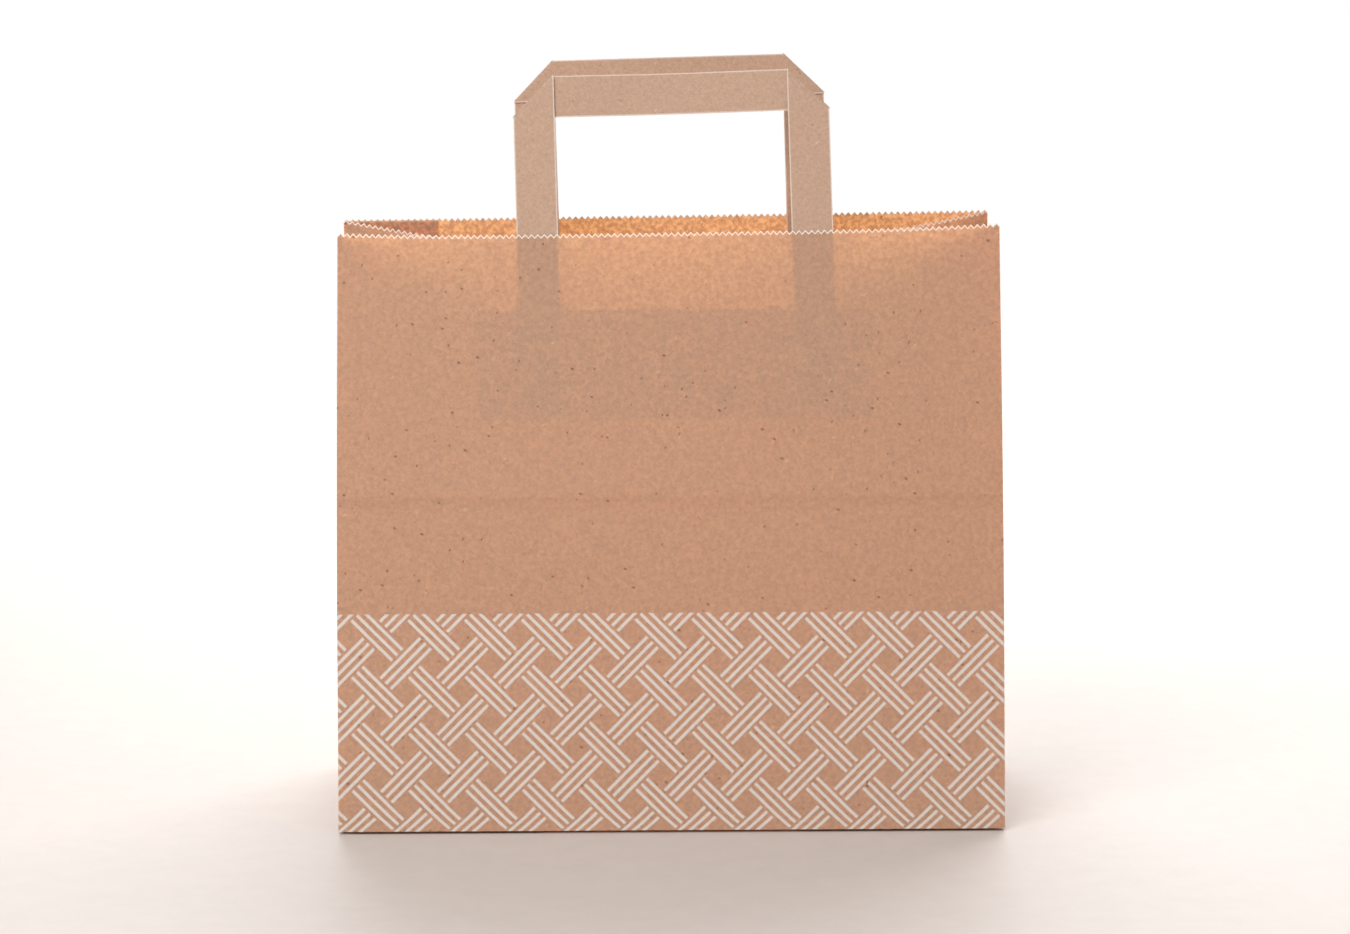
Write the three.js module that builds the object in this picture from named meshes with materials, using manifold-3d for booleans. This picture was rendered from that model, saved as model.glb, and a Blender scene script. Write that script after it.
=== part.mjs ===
// A brown paper carrier bag: a block-bottom bag with pushed-in side gussets, a pinked mouth
// and two flat paper-strip handles, each glued inside its panel under a paper patch.
// Millimetres, +Z up. The bag stands on z = 0, its front panel faces -Y, and the origin is under its middle.

import * as THREE from 'three';
import { mergeVertices } from 'three/addons/utils/BufferGeometryUtils.js';
import Module from 'manifold-3d';

// The bag, measured along the paper
const panelWidth = 320;
const baseDepth = 160;
const panelHeight = 291;
const paper = 0.16;

// How it stands open: the panels' distance at the mouth, and the slightly askew cut of the mouth
const mouthDepth = 50;
const mouthRise = 3.1;
const backStep = 2.5;

// The zig-zag that the knife leaves on every cut end of the paper tube
const toothPitch = 3.05;
const toothDepth = 1.6;

// Glued laps: each bottom flap runs this far past the middle, and the tube's seam is this wide
const bottomLap = 15;
const seamWidth = 44;

// Creases that flat packing pressed into the front panel: a fold, and the print of the base's edge
const creaseSpread = 5;
const creaseInset = 6;
const foldDip = -0.3;
const printLift = 0.5;

// Handles: a flat folded strip, turned twice through a right angle by folds at 45 degrees
const stripWidth = 20.5;
const stripThick = 0.5;
const handleWidth = 154;
const legLength = 84;
const bendClearance = 1.5;
const frontHandle = { centre: 4, rise: 76.5, tilt: 1.4, bend: 0 };
const rearHandle = { centre: -2.5, rise: 80.5, tilt: -1.4, bend: 14 };

// Patches over the handles' legs
const patchWidth = 190;
const patchHeight = 53;
const patchDrop = 38;
const patchPaper = 0.16;
const patchRamp = 2;

// Clear space kept between pieces that are glued together
const glueGap = 0.3;

// Small overlap that makes two parts of one piece join cleanly
const joinOverlap = 0.02;

const lean = Math.asin((baseDepth - mouthDepth) / 2 / panelHeight);

// The two panels, each seen from its own outside, so the rear one sees the cut rise to the left
const frontFace = { turn: 0, step: -backStep / 2, rise: mouthRise };
const rearFace = { turn: Math.PI, step: backStep / 2, rise: -mouthRise };

const wasm = await Module();
wasm.setup();

// Joins and cuts

function toManifold(geometry) {
  geometry.deleteAttribute('normal');
  geometry.deleteAttribute('uv');
  const merged = mergeVertices(geometry);
  return new wasm.Manifold(new wasm.Mesh({
    numProp: 3,
    vertProperties: new Float32Array(merged.attributes.position.array),
    triVerts: new Uint32Array(merged.index.array),
  }));
}

function toGeometry(manifold) {
  const mesh = manifold.getMesh();
  const geometry = new THREE.BufferGeometry();
  geometry.setAttribute('position', new THREE.BufferAttribute(mesh.vertProperties, 3));
  geometry.setIndex(new THREE.BufferAttribute(mesh.triVerts, 1));
  geometry.computeVertexNormals();
  return geometry;
}

// A flat plate with the given outline, between two levels of z, moved by a matrix
function plate(outline, low, high, matrix = new THREE.Matrix4()) {
  const shape = new THREE.Shape(outline.map(([x, y]) => new THREE.Vector2(x, y)));
  const geometry = new THREE.ExtrudeGeometry(shape, { depth: high - low, bevelEnabled: false });
  geometry.translate(0, 0, low);
  geometry.applyMatrix4(matrix);
  return toManifold(geometry);
}

function joinAll(pieces) {
  return pieces.reduce((joined, piece) => joined.add(piece));
}

// The zig-zag cut from one point to another: roots on the line, tips raised along up
function pinkedLine(start, end, up) {
  const count = Math.max(1, Math.round(start.distanceTo(end) / toothPitch));
  const points = [start.clone()];
  for (let tooth = 0; tooth < count; tooth += 1) {
    points.push(start.clone().lerp(end, (tooth + 0.5) / count).addScaledVector(up, toothDepth));
    points.push(start.clone().lerp(end, (tooth + 1) / count));
  }
  return points;
}

// Triangles between a lower and an upper row of points, both running left to right seen from outside
function stitch(lower, upper) {
  const triangles = [];
  let i = 0;
  let j = 0;
  while (i < lower.length - 1 || j < upper.length - 1) {
    const nextLower = (i + 1) / (lower.length - 1 || 1);
    const nextUpper = (j + 1) / (upper.length - 1 || 1);
    const stepLower = j === upper.length - 1 || (i < lower.length - 1 && nextLower <= nextUpper);
    if (stepLower) {
      triangles.push([lower[i], lower[i + 1], upper[j]]);
      i += 1;
    } else {
      triangles.push([lower[i], upper[j + 1], upper[j]]);
      j += 1;
    }
  }
  return triangles;
}

// The panels' own frame: x across, y up along the panel, z out of the bag, origin on the base fold

function panelMatrix(face) {
  const matrix = new THREE.Matrix4().makeRotationZ(face.turn);
  matrix.multiply(new THREE.Matrix4().makeTranslation(0, -baseDepth / 2, 0));
  matrix.multiply(new THREE.Matrix4().makeRotationX(Math.PI / 2 - lean));
  return matrix;
}

function mouthHeight(face, x) {
  return panelHeight + face.step + face.rise * x / panelWidth;
}

function mouthLine(face) {
  const half = panelWidth / 2;
  const left = new THREE.Vector3(-half, mouthHeight(face, -half), 0);
  const right = new THREE.Vector3(half, mouthHeight(face, half), 0);
  return pinkedLine(left, right, new THREE.Vector3(0, 1, 0));
}

// A folded sheet: facets that share their points, given the paper's thickness towards the inside
class FoldedSheet {
  constructor() {
    this.points = [];
    this.facets = [];
  }

  point(position) {
    this.points.push(position);
    return this.points.length - 1;
  }

  // A facet with no thickness of its own takes its depth from its neighbours, as a ramp between two does
  facet(triangles, thickness = paper) {
    const normal = new THREE.Vector3();
    for (const [a, b, c] of triangles) {
      const first = this.points[b].clone().sub(this.points[a]);
      const second = this.points[c].clone().sub(this.points[a]);
      normal.add(first.cross(second));
    }
    this.facets.push({ triangles, thickness, normal: normal.normalize() });
  }

  // The inside point that lies one thickness behind every facet that meets at a point
  insidePoint(index) {
    const normals = new THREE.Matrix3().multiplyScalar(1e-6);
    const depth = new THREE.Vector3();
    for (const { triangles, thickness, normal } of this.facets) {
      if (!thickness || !triangles.some((corners) => corners.includes(index))) continue;
      const n = normal.toArray();
      for (let row = 0; row < 3; row += 1) {
        for (let column = 0; column < 3; column += 1) {
          normals.elements[column * 3 + row] += n[row] * n[column];
        }
      }
      depth.addScaledVector(normal, -thickness);
    }
    return this.points[index].clone().add(depth.applyMatrix3(normals.invert()));
  }

  // Outer skin, inner skin and the rim that closes the sheet along its cut edge
  solid() {
    const count = this.points.length;
    const outer = this.facets.flatMap((facet) => facet.triangles);
    const inner = outer.map(([a, b, c]) => [a + count, c + count, b + count]);
    const edges = new Set(outer.flatMap(([a, b, c]) => [`${a} ${b}`, `${b} ${c}`, `${c} ${a}`]));
    const rim = [];
    for (const edge of edges) {
      const [a, b] = edge.split(' ').map(Number);
      if (edges.has(`${b} ${a}`)) continue;
      rim.push([b, a, a + count], [b, a + count, b + count]);
    }
    const inside = this.points.map((_, index) => this.insidePoint(index));
    const geometry = new THREE.BufferGeometry().setFromPoints([...this.points, ...inside]);
    geometry.setIndex([...outer, ...inner, ...rim].flat());
    return toManifold(geometry);
  }
}

// A flat plate between two rows of points, which may be pinked, and two levels of z
function rowPlate(lower, upper, low, high) {
  const sheet = new FoldedSheet();
  const place = ({ x, y }) => sheet.point(new THREE.Vector3(x, y, high));
  sheet.facet(stitch(lower.map(place), upper.map(place)), high - low);
  return sheet.solid();
}

// The bag's body

// Heights and lifts of the rows that cross a panel between the base fold and the mouth
function creaseRows(face) {
  if (face !== frontFace) return [];
  const creases = [[baseDepth / 2, foldDip], [baseDepth, printLift]];
  return creases.flatMap(([height, lift]) => [
    [height - creaseSpread, 0],
    [height, lift],
    [height + creaseSpread, 0],
  ]);
}

// One panel; returns its left and right corner edges as rows of points, base to mouth
function foldPanel(sheet, face) {
  const matrix = panelMatrix(face);
  const half = panelWidth / 2;
  const place = (x, y, z = 0) => sheet.point(new THREE.Vector3(x, y, z).applyMatrix4(matrix));
  const mouth = mouthLine(face);
  const rows = [[place(-half, 0), place(half, 0)]];
  for (const [height, lift] of creaseRows(face)) {
    const row = [place(-half, height)];
    if (lift) {
      row.push(place(creaseInset - half, height, lift), place(half - creaseInset, height, lift));
    }
    row.push(place(half, height));
    rows.push(row);
  }
  rows.push(mouth.map(({ x, y }) => place(x, y)));
  if (face === rearFace) {
    foldSeam(sheet, rows[0], rows[1], mouth, place);
  } else {
    sheet.facet(rows.slice(1).flatMap((row, below) => stitch(rows[below], row)));
  }
  return { base: rows[0], left: rows.map((row) => row[0]), right: rows.map((row) => row.at(-1)) };
}

// The rear panel with the tube's glued seam: two papers thick along one corner edge, one elsewhere,
// and a step half a tooth wide between the two
function foldSeam(sheet, base, top, mouth, place) {
  const seamEdge = mouth.findIndex(({ x }) => x >= panelWidth / 2 - seamWidth);
  const thin = place(mouth[seamEdge - 1].x, 0);
  const thick = place(mouth[seamEdge].x, 0);
  sheet.facet(stitch([base[0], thin], top.slice(0, seamEdge)));
  sheet.facet(stitch([thin, thick], top.slice(seamEdge - 1, seamEdge + 1)), null);
  sheet.facet(stitch([thick, base[1]], top.slice(seamEdge)), 2 * paper);
  base.splice(1, 0, thin, thick);
}

// One side gusset between two corner edges, the first one on the left seen from outside.
// Its folds keep the paper's lengths: the base triangle's point stays half the base depth from the
// base edge, and the middle crease and the two half mouths keep their flat lengths.
function foldGusset(sheet, first, second) {
  const half = baseDepth / 2;
  const firstTop = sheet.points[first.at(-1)];
  const secondTop = sheet.points[second.at(-1)];
  const side = Math.sign(firstTop.x);
  const edgeLength = (firstTop.distanceTo(sheet.points[first[0]])
    + secondTop.distanceTo(sheet.points[second[0]])) / 2;
  const mouthZ = (firstTop.z + secondTop.z) / 2;
  const mouthHalf = Math.abs(firstTop.y - secondTop.y) / 2;
  const creaseLength = edgeLength - half;

  const pointZ = (mouthZ ** 2 + mouthHalf ** 2 - creaseLength ** 2) / (2 * mouthZ);
  const pointIn = Math.sqrt(half ** 2 - pointZ ** 2);
  const crown = meetCircles(
    { in: 0, z: mouthZ, radius: Math.sqrt(half ** 2 - mouthHalf ** 2) },
    { in: pointIn, z: pointZ, radius: creaseLength },
  );

  const place = (inward, z) => new THREE.Vector3(side * (panelWidth / 2 - inward), 0, z);
  const lowPoint = place(pointIn, pointZ);
  const highPoint = place(crown.in, crown.z);
  const up = highPoint.clone().sub(lowPoint).normalize();
  const low = sheet.point(lowPoint);
  const high = sheet.point(highPoint);

  const pinkedRow = (from, to) => {
    const between = pinkedLine(sheet.points[from], sheet.points[to], up).slice(1, -1);
    return [from, ...between.map((position) => sheet.point(position)), to];
  };

  sheet.facet([[first[0], second[0], low]]);
  sheet.facet(first.slice(1).map((upper, row) => [first[row], low, upper]));
  sheet.facet(second.slice(1).map((upper, row) => [low, second[row], upper]));
  sheet.facet(stitch([low], pinkedRow(first.at(-1), high)));
  sheet.facet(stitch([low], pinkedRow(high, second.at(-1))));
}

// The point further in where two circles in the plane of the middle crease meet
function meetCircles(one, two) {
  const acrossIn = two.in - one.in;
  const acrossZ = two.z - one.z;
  const distance = Math.hypot(acrossIn, acrossZ);
  const along = (distance ** 2 + one.radius ** 2 - two.radius ** 2) / (2 * distance);
  const aside = Math.sqrt(one.radius ** 2 - along ** 2);
  return {
    in: one.in + (along * acrossIn - aside * acrossZ) / distance,
    z: one.z + (along * acrossZ + aside * acrossIn) / distance,
  };
}

// The paper tube folded to shape, with a floor three papers thick where all its layers lie together
function foldBag() {
  const sheet = new FoldedSheet();
  const front = foldPanel(sheet, frontFace);
  const rear = foldPanel(sheet, rearFace);
  foldGusset(sheet, front.right, rear.left);
  foldGusset(sheet, rear.right, front.left);
  sheet.facet(stitch(rear.base.toReversed(), front.base), 3 * paper);
  return sheet.solid();
}

// A bottom flap: its fold on one long edge of the base, ends at 45 degrees, and a pinked end.
// Direction 1 is the rear flap, which ends in front of the middle, and -1 the front flap.
function bottomFlap(direction, low, high) {
  const past = 1;
  const foldX = panelWidth / 2 + past;
  const endX = panelWidth / 2 - baseDepth / 2 - bottomLap;
  const corner = (x, y) => new THREE.Vector3(x, direction * y, 0);
  const fold = [corner(-foldX, baseDepth / 2 + past), corner(foldX, baseDepth / 2 + past)];
  const end = pinkedLine(corner(-endX, -bottomLap), corner(endX, -bottomLap), corner(0, -1));
  return direction > 0 ? rowPlate(end, fold, low, high) : rowPlate(fold, end, low, high);
}

// What the flaps leave bare under the base: one paper deep before the rear flap, two at the ends
function underBaseCuts() {
  const past = 1;
  const x = panelWidth / 2 + 2 * past;
  const y = baseDepth / 2 + 2 * past;
  const slab = [[-x, -y], [x, -y], [x, y], [-x, y]];
  const rearFlap = bottomFlap(1, -2 * past, 3 * paper);
  const frontFlap = bottomFlap(-1, -2 * past, 3 * paper);
  const besideRearFlap = plate(slab, -past, paper).subtract(rearFlap);
  const besideBothFlaps = plate(slab, -past, 2 * paper).subtract(rearFlap).subtract(frontFlap);
  return besideRearFlap.add(besideBothFlaps);
}

// What shows inside between the two end flaps: the front flap, and behind its end the rear flap
function insideFloorCuts() {
  const wall = baseDepth / 2 - 3 * paper;
  const endFlap = panelWidth / 2 - baseDepth / 2 - bottomLap;
  const corner = (x, y) => new THREE.Vector3(x, y, 0);
  const rightEnd = pinkedLine(corner(endFlap, -wall), corner(endFlap, wall), corner(-1, 0));
  const leftEnd = pinkedLine(corner(-endFlap, -wall), corner(-endFlap, wall), corner(1, 0));
  const flapEnd = pinkedLine(corner(-endFlap, bottomLap), corner(endFlap, bottomLap), corner(0, 1));
  const behindFlap = [corner(-endFlap, baseDepth / 2), corner(endFlap, baseDepth / 2)];
  const frontFloor = rowPlate(rightEnd, leftEnd, 2 * paper, 4 * paper);
  const rearFloor = rowPlate(rightEnd, leftEnd, paper, 4 * paper);
  return frontFloor.add(rearFloor.intersect(rowPlate(flapEnd, behindFlap, 0, 5 * paper)));
}

function bagBody() {
  return foldBag().subtract(underBaseCuts()).subtract(insideFloorCuts());
}

// Handles and patches, in their panel's own frame

// Where a handle's leg lies across the panel, at a distance below the mouth
function legCentre(handle, side, below) {
  const tilt = THREE.MathUtils.degToRad(handle.tilt);
  const aside = side * (handleWidth - stripWidth) / 2;
  return handle.centre + aside * Math.cos(tilt) + below * Math.sin(tilt);
}

// One handle: legs on the outer side, the bar folded behind them, bent where it leaves the mouth
function stripHandle(face, handle) {
  const tilt = THREE.MathUtils.degToRad(handle.tilt);
  const mouth = mouthHeight(face, handle.centre);
  const outerFace = -paper - glueGap;
  const bendHeight = panelHeight + face.step + mouthRise / 2 + toothDepth + bendClearance;
  const bendZ = outerFace - stripThick / 2;
  const tilted = new THREE.Matrix4().makeTranslation(handle.centre, mouth, outerFace);
  tilted.multiply(new THREE.Matrix4().makeRotationZ(tilt));
  const bent = new THREE.Matrix4().makeTranslation(0, bendHeight, bendZ);
  bent.multiply(new THREE.Matrix4().makeRotationX(THREE.MathUtils.degToRad(handle.bend)));
  bent.multiply(new THREE.Matrix4().makeTranslation(0, -bendHeight, -bendZ));
  bent.multiply(tilted);

  const outer = handleWidth / 2;
  const inner = outer - stripWidth;
  const foldLow = handle.rise - stripWidth;
  const bendAt = (x) => (bendHeight - mouth - x * Math.sin(tilt)) / Math.cos(tilt);
  const pieces = [];
  for (const side of [-1, 1]) {
    const lowerLeg = [
      [side * outer, -legLength],
      [side * inner, -legLength],
      [side * inner, bendAt(side * inner) + joinOverlap],
      [side * outer, bendAt(side * outer) + joinOverlap],
    ];
    const upperLeg = [
      [side * outer, bendAt(side * outer)],
      [side * inner, bendAt(side * inner)],
      [side * inner, handle.rise],
      [side * outer, foldLow],
    ];
    pieces.push(plate(lowerLeg, -stripThick, 0, tilted));
    pieces.push(plate(upperLeg, -stripThick, 0, bent));
    pieces.push(cornerFold(side, foldLow, bent));
    if (handle.bend) pieces.push(bendRound(handle, side, bendHeight, mouth, bendZ));
  }
  const bar = [[-outer, foldLow], [outer, foldLow], [inner, handle.rise], [-inner, handle.rise]];
  pieces.push(plate(bar, -2 * stripThick, -stripThick + joinOverlap, bent));
  return joinAll(pieces);
}

// The rounded fold along the 45 degree corner of a handle
function cornerFold(side, foldLow, matrix) {
  const length = (stripWidth - 2 * stripThick) * Math.SQRT2;
  const geometry = new THREE.CylinderGeometry(stripThick, stripThick, length, 12);
  geometry.rotateZ(side * Math.PI / 4);
  geometry.translate(side * (handleWidth - stripWidth) / 2, foldLow + stripWidth / 2, -stripThick);
  geometry.applyMatrix4(matrix);
  return toManifold(geometry);
}

// The rounded bend across a leg where it leaves the mouth
function bendRound(handle, side, bendHeight, mouth, bendZ) {
  const geometry = new THREE.CylinderGeometry(stripThick / 2, stripThick / 2, stripWidth, 12);
  geometry.rotateZ(Math.PI / 2);
  geometry.translate(legCentre(handle, side, mouth - bendHeight), bendHeight, bendZ);
  return toManifold(geometry);
}

// The patch glued over a handle's legs: one strip of paper that steps over each leg
function handlePatch(face, handle) {
  const top = mouthHeight(face, handle.centre) - patchDrop;
  const flat = -paper - glueGap;
  const raised = flat - stripThick - glueGap;
  const spread = patchHeight / 2 * Math.abs(Math.tan(THREE.MathUtils.degToRad(handle.tilt)));
  const reach = stripWidth / 2 + spread + glueGap;
  const line = [[handle.centre - patchWidth / 2, flat]];
  for (const side of [-1, 1]) {
    const leg = legCentre(handle, side, patchDrop + patchHeight / 2);
    line.push([leg - reach - patchRamp, flat], [leg - reach, raised]);
    line.push([leg + reach, raised], [leg + reach + patchRamp, flat]);
  }
  line.push([handle.centre + patchWidth / 2, flat]);
  const back = line.map(([x, z]) => [x, z - patchPaper]).reverse();
  const matrix = new THREE.Matrix4().makeBasis(
    new THREE.Vector3(1, 0, 0),
    new THREE.Vector3(0, 0, 1),
    new THREE.Vector3(0, -1, 0),
  );
  matrix.setPosition(0, top, 0);
  return plate([...line, ...back], 0, patchHeight, matrix);
}

// The scene

function named(name, manifold, colour, roughness) {
  const material = new THREE.MeshStandardMaterial({ color: colour, roughness, metalness: 0 });
  const mesh = new THREE.Mesh(toGeometry(manifold), material);
  mesh.name = name;
  return mesh;
}

function panelGroup(face, handle, prefix) {
  const panel = new THREE.Group();
  panel.position.set(0, -baseDepth / 2, 0);
  panel.rotation.set(Math.PI / 2 - lean, 0, 0);
  panel.add(named(`${prefix}_handle`, stripHandle(face, handle), 0xcbac93, 0.7));
  panel.add(named(`${prefix}_handle_patch`, handlePatch(face, handle), 0xc59c78, 0.8));
  const turned = new THREE.Group();
  turned.rotation.z = face.turn;
  turned.add(panel);
  return turned;
}

const bag = new THREE.Group();
bag.add(named('bag_body', bagBody(), 0xc8a082, 0.8));
bag.add(panelGroup(frontFace, frontHandle, 'front'));
bag.add(panelGroup(rearFace, rearHandle, 'rear'));

export default bag;
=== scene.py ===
# %% [markdown]
# This lesson dresses a paper carrier bag. The imported model gives a fixed frame in metres: the bag
# stands on z = 0, its front panel faces -Y and the origin lies under its middle.

# %% Load the frame
import math

import bpy
import numpy as np
from mathutils import Matrix


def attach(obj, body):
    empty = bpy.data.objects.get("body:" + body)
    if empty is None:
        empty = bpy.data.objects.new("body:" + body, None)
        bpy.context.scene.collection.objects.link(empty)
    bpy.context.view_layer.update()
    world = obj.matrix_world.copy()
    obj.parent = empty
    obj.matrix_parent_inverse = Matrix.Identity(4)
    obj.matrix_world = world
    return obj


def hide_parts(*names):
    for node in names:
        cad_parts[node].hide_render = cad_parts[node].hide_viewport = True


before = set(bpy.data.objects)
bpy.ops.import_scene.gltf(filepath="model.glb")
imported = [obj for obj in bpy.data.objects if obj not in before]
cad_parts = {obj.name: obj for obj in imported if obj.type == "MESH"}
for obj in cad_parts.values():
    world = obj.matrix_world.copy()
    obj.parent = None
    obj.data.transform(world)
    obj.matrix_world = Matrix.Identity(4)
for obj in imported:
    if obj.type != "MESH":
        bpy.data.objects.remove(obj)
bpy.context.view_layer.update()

print("nodes in the frame:", sorted(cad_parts))

# %% [markdown]
# The camera stands in front of the bag, a little above its handles, with a long lens. A matrix is the
# shortest way to give a camera a pitch and a small roll, because the turns apply from right to left.

# %% Camera
CAMERA_PLACE = (0.0025, -1.76243, 0.42971)
CAMERA_PITCH = 81.47
CAMERA_ROLL = -0.33
CAMERA_LENS = 96.0
SENSOR_WIDTH = 36.0

scene = bpy.context.scene
scene.view_settings.view_transform = "Standard"


def add_object(name, data):
    obj = bpy.data.objects.new(name, data)
    scene.collection.objects.link(obj)
    return obj


camera = add_object("camera", bpy.data.cameras.new("camera"))
camera.data.lens = CAMERA_LENS
camera.data.sensor_width = SENSOR_WIDTH
pitch = Matrix.Rotation(math.radians(CAMERA_PITCH), 4, "X")
roll = Matrix.Rotation(math.radians(CAMERA_ROLL), 4, "Z")
camera.matrix_world = Matrix.Translation(CAMERA_PLACE) @ pitch @ roll
scene.camera = camera
print("camera lens:", camera.data.lens)

# %% [markdown]
# A block-bottom bag is one sheet: a tube with four corner folds, pushed in at both sides, whose lower
# end is folded shut. So the bag is described as the machine sees it, by a distance u round the tube and
# a height v above the base fold, in millimetres. One cell of the mesh is as wide as one tooth of the
# knife, and cells are square near the base, so the folds at 45 degrees run along cell diagonals.

# %% The bag's measures
MM = 0.001
PANEL_WIDTH = 320.0
BASE_DEPTH = 160.0
PANEL_HEIGHT = 291.0
MOUTH_DEPTH = 50.0
MOUTH_RISE = 3.1
BACK_STEP = 2.5
PAPER = 0.16

PANEL_CELLS = 104
GUSSET_CELLS = 52
BASE_ROWS = 26
FLAP_ROWS = 31
CELL = PANEL_WIDTH / PANEL_CELLS
BAND_BASE = 276.0

half_width = PANEL_WIDTH / 2
half_depth = BASE_DEPTH / 2
lean = math.asin((BASE_DEPTH - MOUTH_DEPTH) / 2 / PANEL_HEIGHT)

front = {"turn": 1, "step": -BACK_STEP / 2, "rise": MOUTH_RISE}
front |= {"sag": 2.2, "bow": 6.0, "creases": 1.0, "skew": 0.0}
rear = {"turn": -1, "step": BACK_STEP / 2, "rise": -MOUTH_RISE}
rear |= {"sag": 0.2, "bow": 5.0, "creases": 0.5, "skew": 1.5}
print("cell:", round(CELL, 3), "mm, lean:", round(math.degrees(lean), 2), "degrees")

# %% [markdown]
# The panels lean towards each other at the mouth, and because the gussets keep their width they push
# the panels out in the middle: each panel is bowed like a shallow barrel. Flat packing leaves a pressed
# ridge at one base depth and a soft fold at half of it. Everything that is glued to a panel is placed
# through the same function, so legs and patches follow the paper that carries them.

# %% How a panel stands
PRESSED_RIDGE = 0.8
RIDGE_ABOVE = 12.0
RIDGE_BELOW = 3.2
FOLD_DIP = 0.35
FOLD_SPREAD = 4.5
RIPPLE = 0.3
RIPPLE_START = 1.1
RIPPLE_ACROSS, RIPPLE_UP = 37.0, 49.0
RIPPLE_DRIFT_ACROSS, RIPPLE_DRIFT_UP = 120.0, 90.0
CORNER_REACH, FOOT_REACH, MOUTH_REACH = 14.0, 40.0, 60.0


def smooth_step(value):
    value = np.clip(value, 0.0, 1.0)
    return value * value * (3.0 - 2.0 * value)


def mouth_height(face, x):
    sag = face["sag"] * (1.0 - (x / half_width) ** 4)
    return PANEL_HEIGHT + face["step"] + face["rise"] * x / PANEL_WIDTH - sag


def bow_of(face, v):
    """A shallow barrel: nothing at the base and the mouth, the whole bow at half height."""
    share = np.clip(v / PANEL_HEIGHT, 0.0, 1.0)
    return face["bow"] * 16.0 * share**2 * (1.0 - share) ** 2


def crease_of(face, x, v):
    above = v - BASE_DEPTH
    spread = np.where(above > 0, RIDGE_ABOVE, RIDGE_BELOW)
    ridge = PRESSED_RIDGE * np.exp(-((above / spread) ** 2))
    dip = FOLD_DIP * np.exp(-(((v - half_depth) / FOLD_SPREAD) ** 2))
    wave_across = np.sin(x / RIPPLE_ACROSS + RIPPLE_START + v / RIPPLE_DRIFT_UP)
    wave_up = np.sin(v / RIPPLE_UP + x / RIPPLE_DRIFT_ACROSS)
    ripple = RIPPLE * wave_across * wave_up
    inside = smooth_step((half_width - np.abs(x)) / CORNER_REACH)
    settled = smooth_step(v / FOOT_REACH) * smooth_step((PANEL_HEIGHT - v) / MOUTH_REACH)
    return face["creases"] * inside * (ridge - dip) + inside * settled * ripple


def panel_place(face, x, v, lift=0.0):
    """A point x across and v up a panel, lifted off it towards the outside, in the bag's frame."""
    out = lift + bow_of(face, v) + crease_of(face, x, v)
    y = -half_depth + v * math.sin(lean) - out * math.cos(lean)
    z = v * math.cos(lean) + out * math.sin(lean)
    turn = face["turn"]
    skew = face["skew"] * np.clip(v / PANEL_HEIGHT, 0.0, 1.0) ** 2
    return np.stack([turn * x - skew, turn * y, z + 0.0 * x], axis=-1)


print("front mouth at the corners:", mouth_height(front, -half_width), mouth_height(front, half_width))

# %% [markdown]
# A gusset keeps its paper's lengths too. Its base triangle turns about the base edge, its middle crease
# runs from the triangle's point to the mouth, and each half spans from a corner edge to that crease.
# Where the span is shorter than the paper, the paper bows into the fold.

# %% How a gusset folds
TINY = 1e-6
SLACK_SHOWN = 0.55

top_length = (mouth_height(front, half_width) + mouth_height(rear, half_width)) / 2
top_z = top_length * math.cos(lean)
top_half = half_depth - top_length * math.sin(lean)
crease_length = top_length - half_depth
point_z = (top_z**2 + top_half**2 - crease_length**2) / (2 * top_z)
point_in = math.sqrt(half_depth**2 - point_z**2)


def meet_circles(one, two):
    """Where two circles (inward, z, radius) in the plane of the crease meet, on the inner side."""
    across = np.array([two[0] - one[0], two[1] - one[1]])
    distance = np.hypot(*across)
    along = (distance**2 + one[2] ** 2 - two[2] ** 2) / (2 * distance)
    aside = math.sqrt(one[2] ** 2 - along**2)
    inward = one[0] + (along * across[0] - aside * across[1]) / distance
    return inward, one[1] + (along * across[1] + aside * across[0]) / distance


crown_in, crown_z = meet_circles(
    (0.0, top_z, math.sqrt(half_depth**2 - top_half**2)), (point_in, point_z, crease_length)
)


def crease_point(side, v):
    share = (v - half_depth) / crease_length
    inward = point_in + (crown_in - point_in) * share
    z = point_z + (crown_z - point_z) * share
    return np.stack([side * (half_width - inward), 0.0 * v, z], axis=-1)


def gusset_half(side, face, across, v):
    """A point on one half of a gusset, across millimetres from the corner edge of a panel."""
    turn = face["turn"]
    edge = panel_place(face, np.full_like(v, side * turn * half_width), v)
    low = np.minimum(v, half_depth) / half_depth
    diagonal = np.stack(
        [side * (half_width - point_in * low), -turn * half_depth * (1 - low), point_z * low], axis=-1
    )
    reach = np.maximum(np.minimum(v, half_depth), TINY)
    crease = crease_point(side, np.maximum(v, half_depth))
    inner = np.where((v > half_depth)[..., None], crease, diagonal)
    share = np.clip(across / reach, 0.0, 1.0)[..., None]
    span = inner - edge
    chord = np.linalg.norm(span, axis=-1)
    slack = np.maximum(half_depth - chord, 0.0) * (v > half_depth)
    bulge = SLACK_SHOWN * np.sqrt(3.0 * chord * slack / 8.0)
    aside = np.stack([side * np.abs(span[..., 1]), turn * np.abs(span[..., 0]), 0.0 * v], axis=-1)
    aside /= np.maximum(np.linalg.norm(aside, axis=-1, keepdims=True), TINY)
    bowed = edge + span * share + aside * (bulge[..., None] * 4.0 * share * (1.0 - share))
    flat = np.stack(
        [side * (half_width - point_in * low), turn * (across - half_depth), point_z * low], axis=-1
    )
    return np.where((across > v)[..., None], flat, bowed)


print("gusset point:", round(half_width - point_in, 1), "crown:", round(half_width - crown_in, 1))

# %% [markdown]
# The block bottom is the same paper folded in: the end flaps first, then the front flap, then the rear
# one, each with a triangle of doubled paper at its ends. Every layer gets its own level, so that no two
# sheets touch.

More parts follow.
